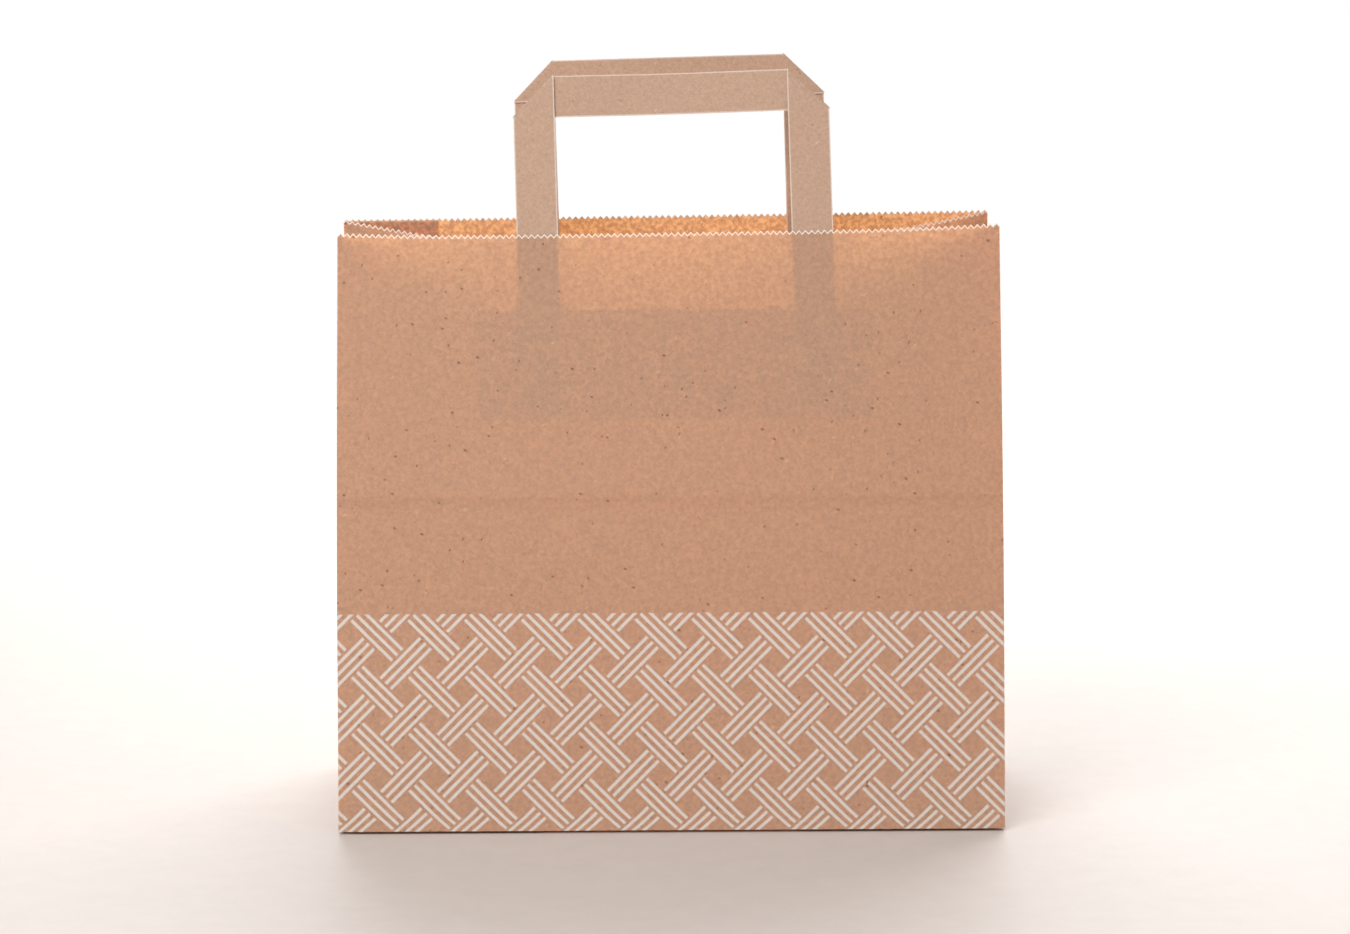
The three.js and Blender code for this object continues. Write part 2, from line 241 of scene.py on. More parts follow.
# %% How the bottom folds
LEVEL_REAR = 0.0
LEVEL_FRONT = 0.21
LEVEL_REAR_TUCKED = 0.6
LEVEL_FRONT_TUCKED = 0.81
LEVEL_END = 0.87
TUCK = 0.4
EDGE_LIFT = 1.2
EDGE_RUN = 12.0


def layer(level, depth):
    return level * np.minimum(depth / CELL, 1.0)


def tucked_in(y, depth):
    """Keeps a folded layer just inside the walls."""
    return y * (1.0 - TUCK / half_depth * np.minimum(depth / CELL, 1.0))


def edge_lift(v):
    """The base fold is springy, so the edge of the bag stands a hair off the table."""
    return EDGE_LIFT * np.maximum(1.0 - np.abs(v) / EDGE_RUN, 0.0) ** 2


def flap_place(face, x, depth):
    """A long flap under the base; past its 45 degree folds the corner triangle is tucked back."""
    turn = face["turn"]
    level = LEVEL_FRONT if face is front else LEVEL_REAR
    tucked_level = LEVEL_FRONT_TUCKED if face is front else LEVEL_REAR_TUCKED
    from_end = half_width - np.abs(x)
    tucked = from_end < depth - TINY
    flap = np.stack([x, depth - half_depth, layer(level, depth)], axis=-1)
    aside = tucked_in(from_end - half_depth, depth)
    folded = np.stack([np.sign(x) * (half_width - depth), aside, layer(tucked_level, depth)], axis=-1)
    place = np.where(tucked[..., None], folded, flap)
    return place * np.array([turn, turn, 1.0])


def end_flap_place(side, across, depth):
    y = tucked_in(across - half_depth, depth)
    return np.stack([side * (half_width - depth), y, layer(LEVEL_END, depth)], axis=-1)


print("levels of the bottom:", LEVEL_REAR, "to", LEVEL_END, "mm")

# %% [markdown]
# Now the whole tube can be placed. The columns go round it, front panel first; the rows start at the
# cut end of the flaps, pass the base fold and end at the mouth. Near the mouth the columns double, so
# that every tooth of the knife has a root and a tip.

# %% The tube as a grid of points
ROUND = 2 * (PANEL_WIDTH + BASE_DEPTH)
RIDGE_ROWS = (150.0, 174.0, 1.5)
ROWS_BELOW_RIDGE = 20
ROWS_ABOVE_RIDGE = 29


def split_round(u):
    """Which part of the tube each u lies on, and how far along that part."""
    u = np.mod(u, ROUND)
    starts = np.array([0.0, PANEL_WIDTH, PANEL_WIDTH + BASE_DEPTH, ROUND - BASE_DEPTH])
    part = np.searchsorted(starts, u + TINY, side="right") - 1
    return part, u - starts[part]


def mouth_round(u):
    """Height of the mouth's cut round the tube."""
    part, along = split_round(u)
    corners = {
        "front_right": mouth_height(front, half_width),
        "rear_right": mouth_height(rear, -half_width),
        "rear_left": mouth_height(rear, half_width),
        "front_left": mouth_height(front, -half_width),
    }
    share = along / BASE_DEPTH
    right = corners["front_right"] + (corners["rear_right"] - corners["front_right"]) * share
    left = corners["rear_left"] + (corners["front_left"] - corners["rear_left"]) * share
    front_line = mouth_height(front, along - half_width)
    rear_line = mouth_height(rear, along - half_width)
    return np.choose(part, [front_line, right, rear_line, left])


def gusset_wall(side, faces, along, wall):
    """A whole gusset: one half from each of two panels, in the order in which u passes them."""
    near = np.minimum(along, BASE_DEPTH - along)
    first, second = [gusset_half(side, face, near, wall) for face in faces]
    return np.where((along <= half_depth)[..., None], first, second)


def tube_place(u, v):
    """Place in the bag's frame of each point (u, v) of the paper tube."""
    part, along = split_round(u)
    wall = np.maximum(v, 0.0)
    depth = np.maximum(-v, 0.0)
    x = along - half_width
    right = gusset_wall(1, (front, rear), along, wall)
    left = gusset_wall(-1, (rear, front), along, wall)
    walls = np.stack([panel_place(front, x, wall), right, panel_place(rear, x, wall), left])
    ends = np.stack([
        flap_place(front, x, depth),
        end_flap_place(1, along, depth),
        flap_place(rear, x, depth),
        end_flap_place(-1, BASE_DEPTH - along, depth),
    ])
    places = np.where((v < 0)[None, ..., None], ends, walls)
    place = np.take_along_axis(places, part[None, ..., None], axis=0)[0]
    place[..., 2] += edge_lift(v)
    return place


def rows_up_to_band():
    flap = -CELL * np.arange(FLAP_ROWS, 0, -1)
    base = CELL * np.arange(0, BASE_ROWS)
    below = np.linspace(half_depth, RIDGE_ROWS[0], ROWS_BELOW_RIDGE)[:-1]
    ridge = np.arange(*RIDGE_ROWS)
    above = np.linspace(RIDGE_ROWS[1], BAND_BASE, ROWS_ABOVE_RIDGE)
    return np.concatenate([flap, base, below, ridge, above])


columns = CELL * np.arange(2 * (PANEL_CELLS + GUSSET_CELLS) + 1)
plain_rows = rows_up_to_band()
print("columns:", len(columns) - 1, "rows:", len(plain_rows))

# %% [markdown]
# A mesh is built from these points with one helper. It keeps the flat place of every corner as a UV map
# in metres, because the print follows the flat sheet. It also keeps some values per point for the cut:
# how far along it the point lies, whether the knife moves it, its pale felt and painted glow, and which
# way is up.

# %% From points to a sheet
class Sheet:
    """Points with their flat places and knife values, and the faces between them."""

    def __init__(self):
        self.points, self.flats, self.ups = [], [], []
        self.alongs, self.cuts, self.frays_and_glows = [], [], []
        self.ends, self.faces = [], []

    def row(self, place, flat, up=None, along=None, cut=0.0, fray_and_glow=0.0):
        start = len(self.points)
        count = len(place)
        self.points.extend(place)
        self.flats.extend(flat)
        self.ups.extend(np.zeros((count, 3)) if up is None else up)
        self.alongs.extend(np.zeros(count) if along is None else along)
        self.cuts.extend([cut] * count)
        self.frays_and_glows.extend([fray_and_glow] * count)
        self.ends += [start, start + count - 1]
        return list(range(start, start + count))

    def face(self, *corners):
        self.faces.append(corners)

    def strip(self, lower, upper, diagonals=None):
        """Cells between two rows; diagonals says per cell 1 for / and 2 for a backward slash."""
        for i in range(len(lower) - 1):
            a, b, c, d = lower[i], lower[i + 1], upper[i + 1], upper[i]
            kind = 0 if diagonals is None else diagonals[i]
            if kind == 1:
                self.face(a, b, c)
                self.face(a, c, d)
            elif kind == 2:
                self.face(a, b, d)
                self.face(b, c, d)
            else:
                self.face(a, b, c, d)

    def doubling(self, lower, upper):
        """Cells from a row to one with twice as many columns."""
        for i in range(len(lower) - 1):
            a, b = lower[i], lower[i + 1]
            d, middle, c = upper[2 * i], upper[2 * i + 1], upper[2 * i + 2]
            self.face(a, b, middle)
            self.face(a, middle, d)
            self.face(b, c, middle)

    def halving(self, lower, upper):
        """Cells from a row to one with half as many columns."""
        for i in range(len(upper) - 1):
            a, b = upper[i], upper[i + 1]
            d, middle, c = lower[2 * i], lower[2 * i + 1], lower[2 * i + 2]
            self.face(d, middle, a)
            self.face(middle, c, b)
            self.face(middle, b, a)

    def mesh(self, name):
        mesh = bpy.data.meshes.new(name)
        mesh.from_pydata([tuple(p * MM) for p in np.array(self.points)], [], self.faces)
        flat = mesh.uv_layers.new(name="flat_sheet")
        corners = np.array([self.flats[corner] for face in self.faces for corner in face]) * MM
        flat.data.foreach_set("uv", corners.astype(np.float32).ravel())
        for label, values in (("along", self.alongs), ("cut", self.cuts), ("frayed_and_glowing", self.frays_and_glows)):
            attribute = mesh.attributes.new(label, "FLOAT", "POINT")
            attribute.data.foreach_set("value", np.array(values, np.float32))
        up = mesh.attributes.new("up", "FLOAT_VECTOR", "POINT")
        up.data.foreach_set("vector", np.array(self.ups, np.float32).ravel())
        mesh.update()
        return mesh


def flat_places(u, v):
    return np.stack([u - half_width, v], axis=-1)


print("sheet helper ready")

# %% [markdown]
# The tube is laid row by row. Its last column meets its first one; both are kept in the mesh and merged
# afterwards, so the flat places stay unbroken. Diagonals are chosen where the 45 degree folds pass.

# %% Lay the tube
TOOTH_ROOM = 2.4
BAND_SHARES = (0.3, 0.6, 0.85, 1.0)
# Rows of a cut edge: distance from the cut, moved by the knife or not, painted pale (felt and glow) or
# not.
MOUTH_ROWS = ((1.1, 0.0, 0.0), (0.85, 1.0, 0.0), (0.6, 1.0, 1.0), (0.0, 1.0, 1.0))
FLAP_END_ROWS = ((1.8, 1.0, 1.0), (1.3, 1.0, 0.0), (0.9, 0.0, 0.0))


def fold_diagonals(row):
    """Cell diagonals of the row of cells that starts at this row."""
    parts = []
    below = FLAP_ROWS - 1 - row
    above = row - FLAP_ROWS
    for cells, is_panel in ((PANEL_CELLS, True), (GUSSET_CELLS, False)) * 2:
        kinds = [0] * cells
        if is_panel and below >= 0:
            kinds[cells - 1 - below] = 1
            kinds[below] = 2
        if not is_panel and 0 <= above < BASE_ROWS:
            kinds[above] = 1
            kinds[cells - 1 - above] = 2
        parts += kinds
    return parts


def up_round(u, v, way=1.0):
    """Direction up the paper at each point near the cut, or down it with way -1."""
    step = tube_place(u, v) - tube_place(u, v - way)
    return step / np.linalg.norm(step, axis=-1, keepdims=True)


def lay_flap_end(sheet, columns, first, level):
    """The cut end of the bottom flaps, below the tube's first row."""
    fine = np.linspace(columns[0], columns[-1], 2 * len(columns) - 1)
    last = None
    for room, cut, fray_and_glow in FLAP_END_ROWS:
        v = np.full_like(fine, level - room)
        up = up_round(fine, v, -1.0)
        upper = sheet.row(tube_place(fine, v), flat_places(fine, v), up, fine * MM, cut, fray_and_glow)
        if last is not None:
            sheet.strip(last, upper)
        last = upper
    sheet.halving(last, first)


def lay_tube(sheet, place, columns, rows, first_row=0):
    """Lays rows of a tube, or of a part of it, and ends in a cut band with doubled columns."""
    laid = []
    for v in rows:
        level = np.full_like(columns, v)
        laid.append(sheet.row(place(columns, level), flat_places(columns, level)))
    for index in range(len(laid) - 1):
        kinds = fold_diagonals(index) if first_row == 0 else None
        sheet.strip(laid[index], laid[index + 1], kinds)
    last = laid[-1]
    reach = mouth_round(columns) - TOOTH_ROOM - rows[-1]
    for share in BAND_SHARES:
        level = rows[-1] + reach * share
        upper = sheet.row(place(columns, level), flat_places(columns, level))
        sheet.strip(last, upper)
        last = upper
    fine = np.linspace(columns[0], columns[-1], 2 * len(columns) - 1)
    mouth = mouth_round(fine)
    along = fine * MM
    join = sheet.doubling
    for room, cut, fray_and_glow in MOUTH_ROWS:
        level = mouth - room
        up = up_round(fine, level)
        upper = sheet.row(place(fine, level), flat_places(fine, level), up, along, cut, fray_and_glow)
        join(last, upper)
        last = upper
        join = sheet.strip
    return laid[0]


bag_sheet = Sheet()
first = lay_tube(bag_sheet, tube_place, columns, plain_rows)
lay_flap_end(bag_sheet, columns, first, plain_rows[0])
print("faces of the tube:", len(bag_sheet.faces))

# %% [markdown]
# Inside the rear panel the tube's two edges overlap in one glued seam. It is a second layer of paper, so
# it is laid as a narrow strip just behind the panel, with the same teeth at the mouth.

# %% The glued seam
SEAM_CELLS = 15
SEAM_DEPTH = PAPER + 0.06


def seam_place(u, v):
    part, along = split_round(u)
    return panel_place(rear, along - half_width, v, -SEAM_DEPTH)


seam_end = PANEL_WIDTH + BASE_DEPTH + PANEL_WIDTH - CELL / 4
seam_columns = seam_end - CELL * np.arange(SEAM_CELLS, -1, -1)
lay_tube(bag_sheet, seam_place, seam_columns, plain_rows[plain_rows >= CELL], first_row=1)
print("seam width:", round(SEAM_CELLS * CELL, 1), "mm")

# %% [markdown]
# The zig-zag of the mouth and of the flap ends follows one rule along the whole cut, so Geometry Nodes
# make it. The tree is the knife: it reads how far along the cut a point lies and moves it by a triangle
# wave. Pitch and depth of the teeth are its inputs.

# %% The pinking knife
TOOTH_PITCH = CELL
TOOTH_DEPTH = 1.6


def node_at(tree, kind, **settings):
    node = tree.nodes.new(kind)
    for key, value in settings.items():
        setattr(node, key, value)
    return node


def named_value(tree, name, kind):
    node = node_at(tree, "GeometryNodeInputNamedAttribute", data_type=kind)
    node.inputs["Name"].default_value = name
    return node.outputs["Attribute"]


def joined_math(tree, operation, first, second):
    node = node_at(tree, "ShaderNodeMath", operation=operation)
    for socket, value in zip(node.inputs, (first, second)):
        if isinstance(value, (int, float)):
            socket.default_value = value
        else:
            tree.links.new(value, socket)
    return node.outputs[0]


def pinking_knife():
    tree = bpy.data.node_groups.new("pinking_knife", "GeometryNodeTree")
    interface = tree.interface
    interface.new_socket("Geometry", in_out="INPUT", socket_type="NodeSocketGeometry")
    interface.new_socket("Tooth Pitch", in_out="INPUT", socket_type="NodeSocketFloat")
    interface.new_socket("Tooth Depth", in_out="INPUT", socket_type="NodeSocketFloat")
    interface.new_socket("Paper", in_out="INPUT", socket_type="NodeSocketMaterial")
    interface.new_socket("Geometry", in_out="OUTPUT", socket_type="NodeSocketGeometry")
    given = tree.nodes.new("NodeGroupInput")
    result = tree.nodes.new("NodeGroupOutput")
    half_pitch = joined_math(tree, "MULTIPLY", given.outputs["Tooth Pitch"], 0.5)
    wave = joined_math(tree, "PINGPONG", named_value(tree, "along", "FLOAT"), half_pitch)
    tooth = joined_math(tree, "DIVIDE", wave, half_pitch)
    height = joined_math(tree, "MULTIPLY", tooth, given.outputs["Tooth Depth"])
    height = joined_math(tree, "MULTIPLY", height, named_value(tree, "cut", "FLOAT"))
    push = node_at(tree, "ShaderNodeVectorMath", operation="SCALE")
    tree.links.new(named_value(tree, "up", "FLOAT_VECTOR"), push.inputs[0])
    tree.links.new(height, push.inputs["Scale"])
    cut = tree.nodes.new("GeometryNodeSetPosition")
    tree.links.new(given.outputs["Geometry"], cut.inputs["Geometry"])
    tree.links.new(push.outputs[0], cut.inputs["Offset"])
    real = tree.nodes.new("GeometryNodeRealizeInstances")
    tree.links.new(cut.outputs[0], real.inputs[0])
    dressed = tree.nodes.new("GeometryNodeSetMaterial")
    tree.links.new(real.outputs[0], dressed.inputs["Geometry"])
    tree.links.new(given.outputs["Paper"], dressed.inputs["Material"])
    tree.links.new(dressed.outputs[0], result.inputs[0])
    return tree


knife = pinking_knife()
print("knife nodes:", len(knife.nodes))

# %% [markdown]
# A handle is one folded strip. It comes up as a leg, turns through a right angle by a fold at 45 degrees
# so that the bar lies behind the leg, and turns again into the second leg. The strip is laid as rows of
# points from fold line to fold line, with a small half round at each fold, which is how paper folds.

# %% Lay a handle strip
STRIP_WIDTH = 20.0
STRIP_THICK = 0.5
HANDLE_WIDTH = 153.0
LEG_LENGTH = 84.0
FOLD_RADIUS = 0.45
STRIP_CELLS = 8
BAR_BOW = 2.5
LEG_ROWS, FOLD_ROWS, BAR_ROWS = 49, 7, 41
BEND_RUN = 9.0
GLUE_GAP = 0.3

front_handle = {"face": front, "centre": 3.1, "rise": 77.1, "tilt": 1.4, "bend": 0.0}
rear_handle = {"face": rear, "centre": -3.6, "rise": 79.4, "tilt": -1.4, "bend": 14.0}


def strip_rows(rise):
    """Rows of (x, y, z) across the strip, from one leg's foot over the bar to the other's."""
    outer = HANDLE_WIDTH / 2
    inner = outer - STRIP_WIDTH
    across = np.linspace(0.0, STRIP_WIDTH, STRIP_CELLS + 1)
    fold_y = rise - STRIP_WIDTH + across
    back = -2.0 * FOLD_RADIUS
    diagonal = math.sqrt(0.5)

    def row(x, y, z):
        return np.stack([x + 0.0 * across, y + 0.0 * across, z + 0.0 * across], axis=-1)

    rows = []
    for share in np.linspace(0.0, 1.0, LEG_ROWS):
        rows.append(row(-outer + across, -LEG_LENGTH + (fold_y + LEG_LENGTH) * share, 0.0))
    for angle in np.linspace(0.0, math.pi, FOLD_ROWS)[1:]:
        aside = FOLD_RADIUS * math.sin(angle) * diagonal
        rows.append(row(-outer + across - aside, fold_y + aside, FOLD_RADIUS * (math.cos(angle) - 1.0)))
    start = -outer + across
    end = outer - across
    for share in np.linspace(0.0, 1.0, BAR_ROWS)[1:]:
        bow = BAR_BOW * math.sin(math.pi * share) ** 2
        rows.append(row(start + (end - start) * share, fold_y, back - bow))
    for angle in np.linspace(math.pi, 0.0, FOLD_ROWS)[1:]:
        aside = FOLD_RADIUS * math.sin(angle) * diagonal
        rows.append(row(end + aside, fold_y + aside, FOLD_RADIUS * (math.cos(angle) - 1.0)))
    for share in np.linspace(0.0, 1.0, LEG_ROWS)[1:]:
        rows.append(row(outer - across, fold_y + (-LEG_LENGTH - fold_y) * share, 0.0))
    return rows


def strip_place(handle, row):
    """Tilts a row, bends it where it leaves the mouth and stands it on its panel."""
    face = handle["face"]
    tilt = math.radians(handle["tilt"])
    bend = math.radians(handle["bend"])
    mouth = PANEL_HEIGHT + face["step"] + face["rise"] * handle["centre"] / PANEL_WIDTH
    x = handle["centre"] + row[:, 0] * math.cos(tilt) - row[:, 1] * math.sin(tilt)
    v = mouth + row[:, 0] * math.sin(tilt) + row[:, 1] * math.cos(tilt)
    middle = -(PAPER + GLUE_GAP + STRIP_THICK / 2)
    bend_start = PANEL_HEIGHT + face["step"] + MOUTH_RISE / 2
    above = np.maximum(v - bend_start, 0.0)
    turned = bend * np.minimum(above / BEND_RUN, 1.0)
    straight = np.maximum(above - BEND_RUN, 0.0)
    if bend:
        radius = BEND_RUN / bend
        rise = radius * np.sin(turned) + straight * np.cos(turned)
        out = radius * (1.0 - np.cos(turned)) + straight * np.sin(turned)
    else:
        rise, out = above, 0.0 * above
    rise = rise - row[:, 2] * np.sin(turned)
    out = out + row[:, 2] * np.cos(turned)
    return panel_place(face, x, np.minimum(v, bend_start) + rise, middle + out)


def lay_strip(handle):
    sheet = Sheet()
    across = np.linspace(0.0, STRIP_WIDTH, STRIP_CELLS + 1)
    rows = strip_rows(handle["rise"])
    run, before, last = 0.0, None, None
    for row in rows:
        if before is not None:
            run += np.linalg.norm(row - before, axis=-1).mean()
        before = row
        flat = np.stack([across, np.full_like(across, run)], axis=-1)
        upper = sheet.row(strip_place(handle, row), flat)
        if last is not None:
            sheet.strip(last, upper)
        last = upper
    print("flat strip:", STRIP_WIDTH, "by", round(run, 1), "mm")
    return sheet


handle_sheets = {"front_handle": lay_strip(front_handle), "rear_handle": lay_strip(rear_handle)}

# %% [markdown]
# A patch of the same kraft holds both legs of a handle inside its panel. It lies flat on the panel and
# steps over each leg, so its height is a flat level with two smooth plateaus.

# %% Lay a patch
PATCH_WIDTH = 190.0
PATCH_HEIGHT = 53.0
PATCH_DROP = 38.0
PATCH_RAMP = 2.6
PATCH_CELLS = (190, 18)
PATCH_GLUE = 0.1
PATCH_OVER_LEG = 0.08
PATCH_MARGIN = 0.35


def patch_lift(handle, x, below):
    """How far inside the panel the patch's outer side lies."""
    flat = PAPER + PATCH_GLUE
    raised = PAPER + GLUE_GAP + STRIP_THICK + PATCH_OVER_LEG
    tilt = math.radians(handle["tilt"])
    over = 0.0
    for side in (-1, 1):
        leg = side * (HANDLE_WIDTH - STRIP_WIDTH) / 2 * math.cos(tilt) + below * math.sin(tilt)
        from_leg = np.abs(x - handle["centre"] - leg) - STRIP_WIDTH / 2 - PATCH_MARGIN
        over = np.maximum(over, 1.0 - smooth_step(from_leg / PATCH_RAMP))
    return -(flat + (raised - flat) * over)


def lay_patch(handle):
    sheet = Sheet()
    face = handle["face"]
    top = PANEL_HEIGHT + face["step"] + face["rise"] * handle["centre"] / PANEL_WIDTH - PATCH_DROP
    across = np.linspace(-PATCH_WIDTH / 2, PATCH_WIDTH / 2, PATCH_CELLS[0] + 1)
    last = None
    for height in np.linspace(0.0, PATCH_HEIGHT, PATCH_CELLS[1] + 1):
        v = np.full_like(across, top - PATCH_HEIGHT + height)
        x = handle["centre"] + across
        lift = patch_lift(handle, x, PATCH_DROP + PATCH_HEIGHT - height)
        upper = sheet.row(panel_place(face, x, v, lift), np.stack([across, v], axis=-1))
        if last is not None:
            sheet.strip(last, upper)
        last = upper
    return sheet


patch_sheets = {}
patch_sheets["front_handle_patch"] = lay_patch(front_handle)
patch_sheets["rear_handle_patch"] = lay_patch(rear_handle)
print("patches:", sorted(patch_sheets))

# %% [markdown]
# Kraft paper is a felt of fibres. Held to the light it is cloudy, with patches a few millimetres wide;
# close up it has a fine grain, sparse dark slivers and a few pale ones. One node group makes these four
# things from a place in metres, and every paper of the bag uses it with its own amounts.

# %% Kraft fibre group
TONE_CLOUDS = {"scale": 330.0, "detail": 3.0, "roughness": 0.66}
GRAINS = (
    {"lengths": (2.2, 1.0, 1.0), "turn": (0.0, -0.6, 0.3), "scale": 1250.0},
    {"lengths": (2.2, 1.0, 1.0), "turn": (0.2, 0.8, 0.0), "scale": 1150.0},
)
DARK_SLIVERS = (
    {"scale": 230.0, "lengths": (1.6, 1.0, 1.0), "turn": (0.0, 0.5, 0.2), "radius": 0.15, "share": 0.25},
    {"scale": 260.0, "lengths": (1.0, 1.0, 1.8), "turn": (0.1, 0.4, 0.0), "radius": 0.13, "share": 0.3},
)
PALE_SLIVERS = {"scale": 210.0, "lengths": (3.0, 1.0, 1.0), "turn": (0.0, -0.7, 0.2)}
PALE_SLIVERS |= {"radius": 0.10, "share": 0.35}


def noise_value(tree, vector, scale, detail, roughness=0.55):
    node = node_at(tree, "ShaderNodeTexNoise", noise_dimensions="3D")
    node.inputs["Scale"].default_value = scale
    node.inputs["Detail"].default_value = detail
    node.inputs["Roughness"].default_value = roughness
    tree.links.new(vector, node.inputs["Vector"])
    return node.outputs[0]


def stretched(tree, vector, lengths, turn):
    """Places turned and then drawn out, so that a pattern on them is long in a slanting direction."""
    node = node_at(tree, "ShaderNodeMapping", vector_type="TEXTURE")
    node.inputs["Scale"].default_value = lengths
    node.inputs["Rotation"].default_value = turn
    tree.links.new(vector, node.inputs["Vector"])
    return node.outputs[0]


def ranged(tree, value, low, high, to_low=0.0, to_high=1.0):
    node = node_at(tree, "ShaderNodeMapRange", clamp=True)
    limits = {"From Min": low, "From Max": high, "To Min": to_low, "To Max": to_high}
    for label, number in limits.items():
        node.inputs[label].default_value = number
    tree.links.new(value, node.inputs["Value"])
    return node.outputs[0]


def slivers(tree, vector, scale, lengths, turn, radius, share):
    """Sparse elongated fibres: cells of a Voronoi pattern, only a share of which holds one."""
    node = node_at(tree, "ShaderNodeTexVoronoi", feature="F1", voronoi_dimensions="3D")
    node.inputs["Scale"].default_value = scale
    tree.links.new(stretched(tree, vector, lengths, turn), node.inputs["Vector"])
    spot = ranged(tree, node.outputs["Distance"], radius, radius * 0.6)
    parted = tree.nodes.new("ShaderNodeSeparateColor")
    tree.links.new(node.outputs["Color"], parted.inputs[0])
    chosen = joined_math(tree, "LESS_THAN", parted.outputs[0], share)
    return joined_math(tree, "MULTIPLY", spot, chosen)


def drawn_grain(tree, place, lengths, turn, scale):
    return noise_value(tree, stretched(tree, place, lengths, turn), scale, 1.0)


def kraft_fibre_group():
    tree = bpy.data.node_groups.new("kraft_fibre", "ShaderNodeTree")
    tree.interface.new_socket("Place", in_out="INPUT", socket_type="NodeSocketVector")
    given = tree.nodes.new("NodeGroupInput")
    place = given.outputs["Place"]
    cloud = ranged(tree, noise_value(tree, place, **TONE_CLOUDS), 0.32, 0.68)
    rising, falling = [drawn_grain(tree, place, **settings) for settings in GRAINS]
    grain = ranged(tree, joined_math(tree, "ADD", rising, falling), 0.7, 1.3)
    dark, more_dark = [slivers(tree, place, **settings) for settings in DARK_SLIVERS]
    made = {
        "Cloud": cloud,
        "Grain": grain,
        "Dark Fibres": joined_math(tree, "MAXIMUM", dark, more_dark),
        "Pale Fibres": slivers(tree, place, **PALE_SLIVERS),
        "Height": joined_math(tree, "ADD", joined_math(tree, "MULTIPLY", cloud, 0.5), grain),
    }
    for label in made:
        tree.interface.new_socket(label, in_out="OUTPUT", socket_type="NodeSocketFloat")
    result = tree.nodes.new("NodeGroupOutput")
    for label, value in made.items():
        tree.links.new(value, result.inputs[label])
    return tree


kraft_fibre = kraft_fibre_group()
print("kraft fibre outputs:", [s.name for s in kraft_fibre.interface.items_tree if s.in_out == "OUTPUT"])

# %% [markdown]
# The print is a common basket weave in off-white ink. Bars of three lines lean right on one lattice and
# left on a second lattice half a period away. Each line is a distance test in flat coordinates, wrapped
# to one period, so no image is needed and the edges stay sharp at any distance.

# %% Basket weave print
WEAVE_PERIOD = 27.23 * MM
WEAVE_SHIFT = (8.85 * MM, 0.1 * MM)
BAR_LENGTH = 27.3 * MM
LINE_GAP = 3.55 * MM
LINE_WIDTH = 1.55 * MM
PRINT_TOP = 105.4 * MM
INK_SOFTNESS = 0.08 * MM


def wrapped(tree, value, shift):
    moved = joined_math(tree, "SUBTRACT", value, shift - WEAVE_PERIOD / 2)
    folded = joined_math(tree, "FLOORED_MODULO", moved, WEAVE_PERIOD)
    return joined_math(tree, "SUBTRACT", folded, WEAVE_PERIOD / 2)


def edge_mask(tree, value, limit):
    """1 below the limit, 0 above it, with a narrow soft edge."""
    return ranged(tree, value, limit + INK_SOFTNESS, limit - INK_SOFTNESS)


def bar_lines(tree, across, up, shift, slant):
    """Three parallel lines per lattice point; slant 1 leans right and -1 leans left."""
    dx = wrapped(tree, across, WEAVE_SHIFT[0] + shift)
    dz = joined_math(tree, "MULTIPLY", wrapped(tree, up, WEAVE_SHIFT[1] + shift), float(slant))
    half_root = math.sqrt(0.5)
    along = joined_math(tree, "MULTIPLY", joined_math(tree, "ADD", dx, dz), half_root)
    aside = joined_math(tree, "MULTIPLY", joined_math(tree, "SUBTRACT", dx, dz), half_root)
    far = joined_math(tree, "ABSOLUTE", aside, 0.0)
    outer = joined_math(tree, "ABSOLUTE", joined_math(tree, "SUBTRACT", far, LINE_GAP), 0.0)
    nearest = joined_math(tree, "MINIMUM", far, outer)
    on_line = edge_mask(tree, nearest, LINE_WIDTH / 2)
    in_bar = edge_mask(tree, joined_math(tree, "ABSOLUTE", along, 0.0), BAR_LENGTH / 2)
    return joined_math(tree, "MULTIPLY", on_line, in_bar)


def weave_ink(tree, across, up):
    """1 where the sheet is inked, 0 elsewhere."""
    right = bar_lines(tree, across, up, 0.0, 1)
    left = bar_lines(tree, across, up, WEAVE_PERIOD / 2, -1)
    ink = joined_math(tree, "MAXIMUM", right, left)
    return joined_math(tree, "MULTIPLY", ink, edge_mask(tree, up, PRINT_TOP))


print("weave period in mm:", WEAVE_PERIOD / MM)

# %% [markdown]
# Paper lets light through, which is why the mouth of the bag glows. Each paper mixes a Principled
# surface, whose colour the fibre group varies, with a Translucent one. The felt is uneven, so the light
# that passes is cloudy. The line of the old flat fold is darkened as painted shade, the cut edges are
# painted pale as felt and painted glow, and the strips have pressed lines and a painted edge highlight.

# %% Paper materials
KRAFT = (0.81, 0.60, 0.435)
KRAFT_THROUGH = (1.0, 0.70, 0.415)
DARK_FIBRE = (0.20, 0.11, 0.06)
PALE_FIBRE = (0.95, 0.80, 0.62)
INK = (0.80, 0.745, 0.69)
PALE_PASSES = 0.2
# Near-white of the cut edges, partly pale felt and partly a painted glow of the light behind them; along
# the strips' edges it is a painted highlight.
PALE_FELT_AND_HIGHLIGHT = (1.0, 0.93, 0.84)
BODY_SHARE = 0.55
PATCH_SHARE = 0.45
RIM_SHARE = 0.5
STRIP_SHARE = 0.1
PRESSED_LINES = 5200.0
CLOUD_TONES = (0.97, 1.02)
GRAIN_TONE = 0.66
# Painted shade: a faint darker line along the old flat fold, where its pressed ridge lies.
FOLD_SHADE_TONE = 0.62
FOLD_SHADE_MARK = 0.22
FOLD_SHADE_LINE = (0.3 * MM, 2.2 * MM)
WORN_INK = (0.80, 0.97)
LINE_MARK, LINE_TONE, LINE_HEIGHT = 0.10, 0.6, 0.15
